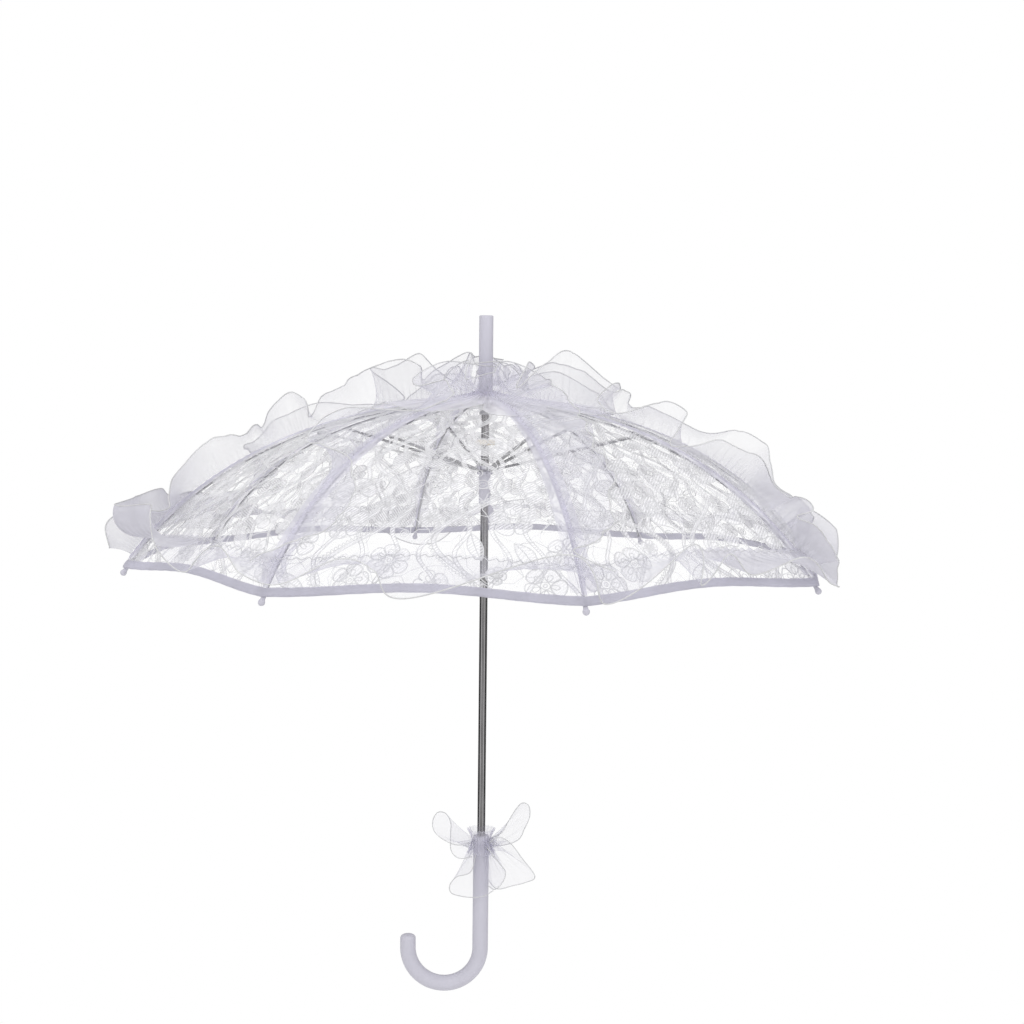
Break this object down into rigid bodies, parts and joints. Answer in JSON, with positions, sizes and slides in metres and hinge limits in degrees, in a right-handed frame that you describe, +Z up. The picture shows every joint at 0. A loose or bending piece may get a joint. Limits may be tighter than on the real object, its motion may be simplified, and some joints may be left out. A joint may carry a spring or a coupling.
{
  "type": "lace parasol",
  "caption": "Open lace parasol with a fluted steel shaft, hook handle, sliding runner, folding wire ribs and stretchers, ruffled sheer canopy and an organza bow.",
  "frame": {"origin": "on the shaft's axis, in the middle of the handle's straight grip", "axes": "+Z up along the shaft to the ferrule, -X towards the hook's end, -Y towards the front"},
  "size_m": [0.7426, 0.7376, 0.6861],
  "materials": {
    "shaft_steel": "bright fluted tube with dark grooves",
    "wire_steel": "drawn wire, semi-bright",
    "white_plastic": "moulded, soft satin gloss, faint lavender tint",
    "clear_plastic": "translucent moulded, satin",
    "beige_plastic": "moulded, satin",
    "rosette_cloth": "plain weave with a pinked edge",
    "lace": "open floral lace net with corded outlines",
    "organza": "sheer crisp organza with a rolled edge"
  },
  "bodies": {
    "root": {"shaft": "shaft_steel", "ferrule": "white_plastic", "top_notch": "clear_plastic", "notch_wire": "wire_steel", "stop_ring": "beige_plastic", "handle": "white_plastic", "inner_rosette": "rosette_cloth", "crown_ruffle": "organza", "handle_bow": "organza"},
    "runner": {"runner": "white_plastic", "runner_wire": "wire_steel"},
    "spring_catch": {"spring_catch": "white_plastic"},
    "rib_1": {"rib_1": "wire_steel", "rivet_1": "wire_steel", "rib_tip_1": "white_plastic", "lace_gore_1": "lace", "ruffle_1": "organza"},
    "stretcher_1": {"stretcher_1": "wire_steel"},
    "rib_2": {"rib_2": "wire_steel", "rivet_2": "wire_steel", "rib_tip_2": "white_plastic", "lace_gore_2": "lace", "ruffle_2": "organza"},
    "stretcher_2": {"stretcher_2": "wire_steel"},
    "rib_3": {"rib_3": "wire_steel", "rivet_3": "wire_steel", "rib_tip_3": "white_plastic", "lace_gore_3": "lace", "ruffle_3": "organza"},
    "stretcher_3": {"stretcher_3": "wire_steel"},
    "rib_4": {"rib_4": "wire_steel", "rivet_4": "wire_steel", "rib_tip_4": "white_plastic", "lace_gore_4": "lace", "ruffle_4": "organza"},
    "stretcher_4": {"stretcher_4": "wire_steel"},
    "rib_5": {"rib_5": "wire_steel", "rivet_5": "wire_steel", "rib_tip_5": "white_plastic", "lace_gore_5": "lace", "ruffle_5": "organza"},
    "stretcher_5": {"stretcher_5": "wire_steel"},
    "rib_6": {"rib_6": "wire_steel", "rivet_6": "wire_steel", "rib_tip_6": "white_plastic", "lace_gore_6": "lace", "ruffle_6": "organza"},
    "stretcher_6": {"stretcher_6": "wire_steel"},
    "rib_7": {"rib_7": "wire_steel", "rivet_7": "wire_steel", "rib_tip_7": "white_plastic", "lace_gore_7": "lace", "ruffle_7": "organza"},
    "stretcher_7": {"stretcher_7": "wire_steel"},
    "rib_8": {"rib_8": "wire_steel", "rivet_8": "wire_steel", "rib_tip_8": "white_plastic", "lace_gore_8": "lace", "ruffle_8": "organza"},
    "stretcher_8": {"stretcher_8": "wire_steel"}
  },
  "joints": [
    {"name": "runner_slide", "type": "slide", "parent": "root", "child": "runner", "axis": [0, 0, -1], "range_m": [0, 0.2411]},
    {"name": "catch_press", "type": "slide", "parent": "root", "child": "spring_catch", "axis": [-1, 0, 0], "range_m": [0, 0.0053], "stiffness_N_per_m": 400, "deforming": ["spring_catch"]},
    {"name": "rib_1_hinge", "type": "hinge", "parent": "root", "child": "rib_1", "pos_m": [0.00775, 0.002, 0.488], "axis": [-0.2504, 0.9681, 0], "range_deg": [0, 61.3], "deforming": ["lace_gore_1", "ruffle_1"]},
    {"name": "stretcher_1_hinge", "type": "hinge", "parent": "rib_1", "child": "stretcher_1", "pos_m": [0.16083, 0.04159, 0.45712], "axis": [0.2504, -0.9681, 0], "range_deg": [0, 120.35]},
    {"name": "rib_2_hinge", "type": "hinge", "parent": "root", "child": "rib_2", "pos_m": [0.00406, 0.00689, 0.488], "axis": [-0.8616, 0.5075, 0], "range_deg": [0, 61.3], "deforming": ["lace_gore_2", "ruffle_2"]},
    {"name": "stretcher_2_hinge", "type": "hinge", "parent": "rib_2", "child": "stretcher_2", "pos_m": [0.08431, 0.14314, 0.45712], "axis": [0.8616, -0.5075, 0], "range_deg": [0, 120.35]},
    {"name": "rib_3_hinge", "type": "hinge", "parent": "root", "child": "rib_3", "pos_m": [-0.002, 0.00775, 0.488], "axis": [-0.9681, -0.2504, 0], "range_deg": [0, 61.3], "deforming": ["lace_gore_3", "ruffle_3"]},
    {"name": "stretcher_3_hinge", "type": "hinge", "parent": "rib_3", "child": "stretcher_3", "pos_m": [-0.04159, 0.16083, 0.45712], "axis": [0.9681, 0.2504, 0], "range_deg": [0, 120.35]},
    {"name": "rib_4_hinge", "type": "hinge", "parent": "root", "child": "rib_4", "pos_m": [-0.00689, 0.00406, 0.488], "axis": [-0.5075, -0.8616, 0], "range_deg": [0, 61.3], "deforming": ["lace_gore_4", "ruffle_4"]},
    {"name": "stretcher_4_hinge", "type": "hinge", "parent": "rib_4", "child": "stretcher_4", "pos_m": [-0.14314, 0.08431, 0.45712], "axis": [0.5075, 0.8616, 0], "range_deg": [0, 120.35]},
    {"name": "rib_5_hinge", "type": "hinge", "parent": "root", "child": "rib_5", "pos_m": [-0.00775, -0.002, 0.488], "axis": [0.2504, -0.9681, 0], "range_deg": [0, 61.3], "deforming": ["lace_gore_5", "ruffle_5"]},
    {"name": "stretcher_5_hinge", "type": "hinge", "parent": "rib_5", "child": "stretcher_5", "pos_m": [-0.16083, -0.04159, 0.45712], "axis": [-0.2504, 0.9681, 0], "range_deg": [0, 120.35]},
    {"name": "rib_6_hinge", "type": "hinge", "parent": "root", "child": "rib_6", "pos_m": [-0.00406, -0.00689, 0.488], "axis": [0.8616, -0.5075, 0], "range_deg": [0, 61.3], "deforming": ["lace_gore_6", "ruffle_6"]},
    {"name": "stretcher_6_hinge", "type": "hinge", "parent": "rib_6", "child": "stretcher_6", "pos_m": [-0.08431, -0.14314, 0.45712], "axis": [-0.8616, 0.5075, 0], "range_deg": [0, 120.35]},
    {"name": "rib_7_hinge", "type": "hinge", "parent": "root", "child": "rib_7", "pos_m": [0.002, -0.00775, 0.488], "axis": [0.9681, 0.2504, 0], "range_deg": [0, 61.3], "deforming": ["lace_gore_7", "ruffle_7"]},
    {"name": "stretcher_7_hinge", "type": "hinge", "parent": "rib_7", "child": "stretcher_7", "pos_m": [0.04159, -0.16083, 0.45712], "axis": [-0.9681, -0.2504, 0], "range_deg": [0, 120.35]},
    {"name": "rib_8_hinge", "type": "hinge", "parent": "root", "child": "rib_8", "pos_m": [0.00689, -0.00406, 0.488], "axis": [0.5075, 0.8616, 0], "range_deg": [0, 61.3], "deforming": ["lace_gore_8", "ruffle_8"]},
    {"name": "stretcher_8_hinge", "type": "hinge", "parent": "rib_8", "child": "stretcher_8", "pos_m": [0.14314, -0.08431, 0.45712], "axis": [-0.5075, -0.8616, 0], "range_deg": [0, 120.35]}
  ],
  "couplings": [
    {"joint": "rib_1_hinge", "follows": "runner_slide", "rad_per_m": 4.4336},
    {"joint": "stretcher_1_hinge", "follows": "runner_slide", "rad_per_m": 8.7072},
    {"joint": "rib_2_hinge", "follows": "runner_slide", "rad_per_m": 4.4336},
    {"joint": "stretcher_2_hinge", "follows": "runner_slide", "rad_per_m": 8.7072},
    {"joint": "rib_3_hinge", "follows": "runner_slide", "rad_per_m": 4.4336},
    {"joint": "stretcher_3_hinge", "follows": "runner_slide", "rad_per_m": 8.7072},
    {"joint": "rib_4_hinge", "follows": "runner_slide", "rad_per_m": 4.4336},
    {"joint": "stretcher_4_hinge", "follows": "runner_slide", "rad_per_m": 8.7072},
    {"joint": "rib_5_hinge", "follows": "runner_slide", "rad_per_m": 4.4336},
    {"joint": "stretcher_5_hinge", "follows": "runner_slide", "rad_per_m": 8.7072},
    {"joint": "rib_6_hinge", "follows": "runner_slide", "rad_per_m": 4.4336},
    {"joint": "stretcher_6_hinge", "follows": "runner_slide", "rad_per_m": 8.7072},
    {"joint": "rib_7_hinge", "follows": "runner_slide", "rad_per_m": 4.4336},
    {"joint": "stretcher_7_hinge", "follows": "runner_slide", "rad_per_m": 8.7072},
    {"joint": "rib_8_hinge", "follows": "runner_slide", "rad_per_m": 4.4336},
    {"joint": "stretcher_8_hinge", "follows": "runner_slide", "rad_per_m": 8.7072}
  ]
}
